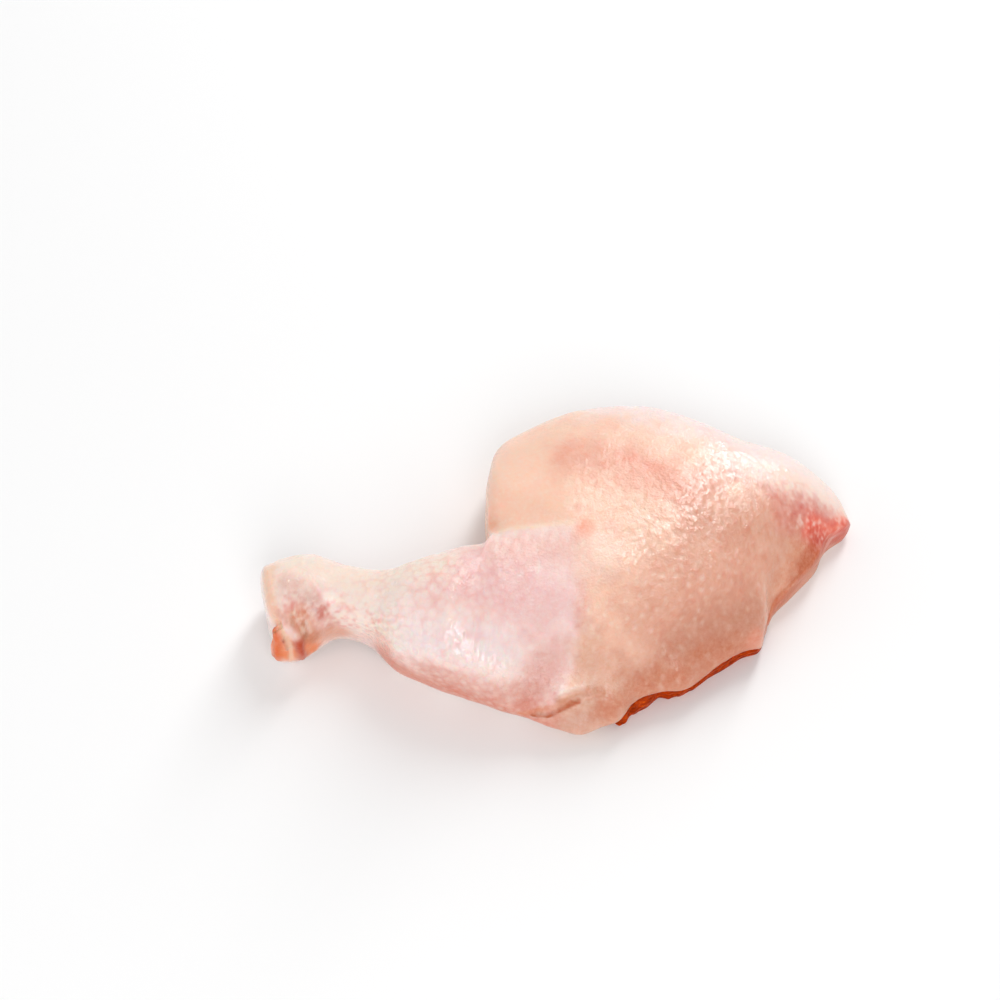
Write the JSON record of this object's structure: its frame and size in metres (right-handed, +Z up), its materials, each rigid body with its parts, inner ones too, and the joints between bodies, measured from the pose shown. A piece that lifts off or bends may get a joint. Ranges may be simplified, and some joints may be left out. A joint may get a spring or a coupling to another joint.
{
  "type": "raw chicken leg quarter",
  "caption": "Raw chicken leg quarter lying skin side up: a skin-covered drumstick and thigh over the thigh's bare meat, flat underneath.",
  "frame": {"origin": "on the surface it rests on, below the middle of its box", "axes": "+X from the hock to the hip, +Y from the knee side to the thigh's back lobe, +Z up, out of the skin side"},
  "size_m": [0.2074, 0.1302, 0.0441],
  "materials": {
    "chicken_skin": "wet, thin raw chicken skin, pale peach and pink with fine feather bumps",
    "thigh_meat": "wet, dark red-brown raw meat"
  },
  "bodies": {
    "root": {"skin_covered_leg": "chicken_skin", "thigh_meat": "thigh_meat"}
  },
  "joints": []
}
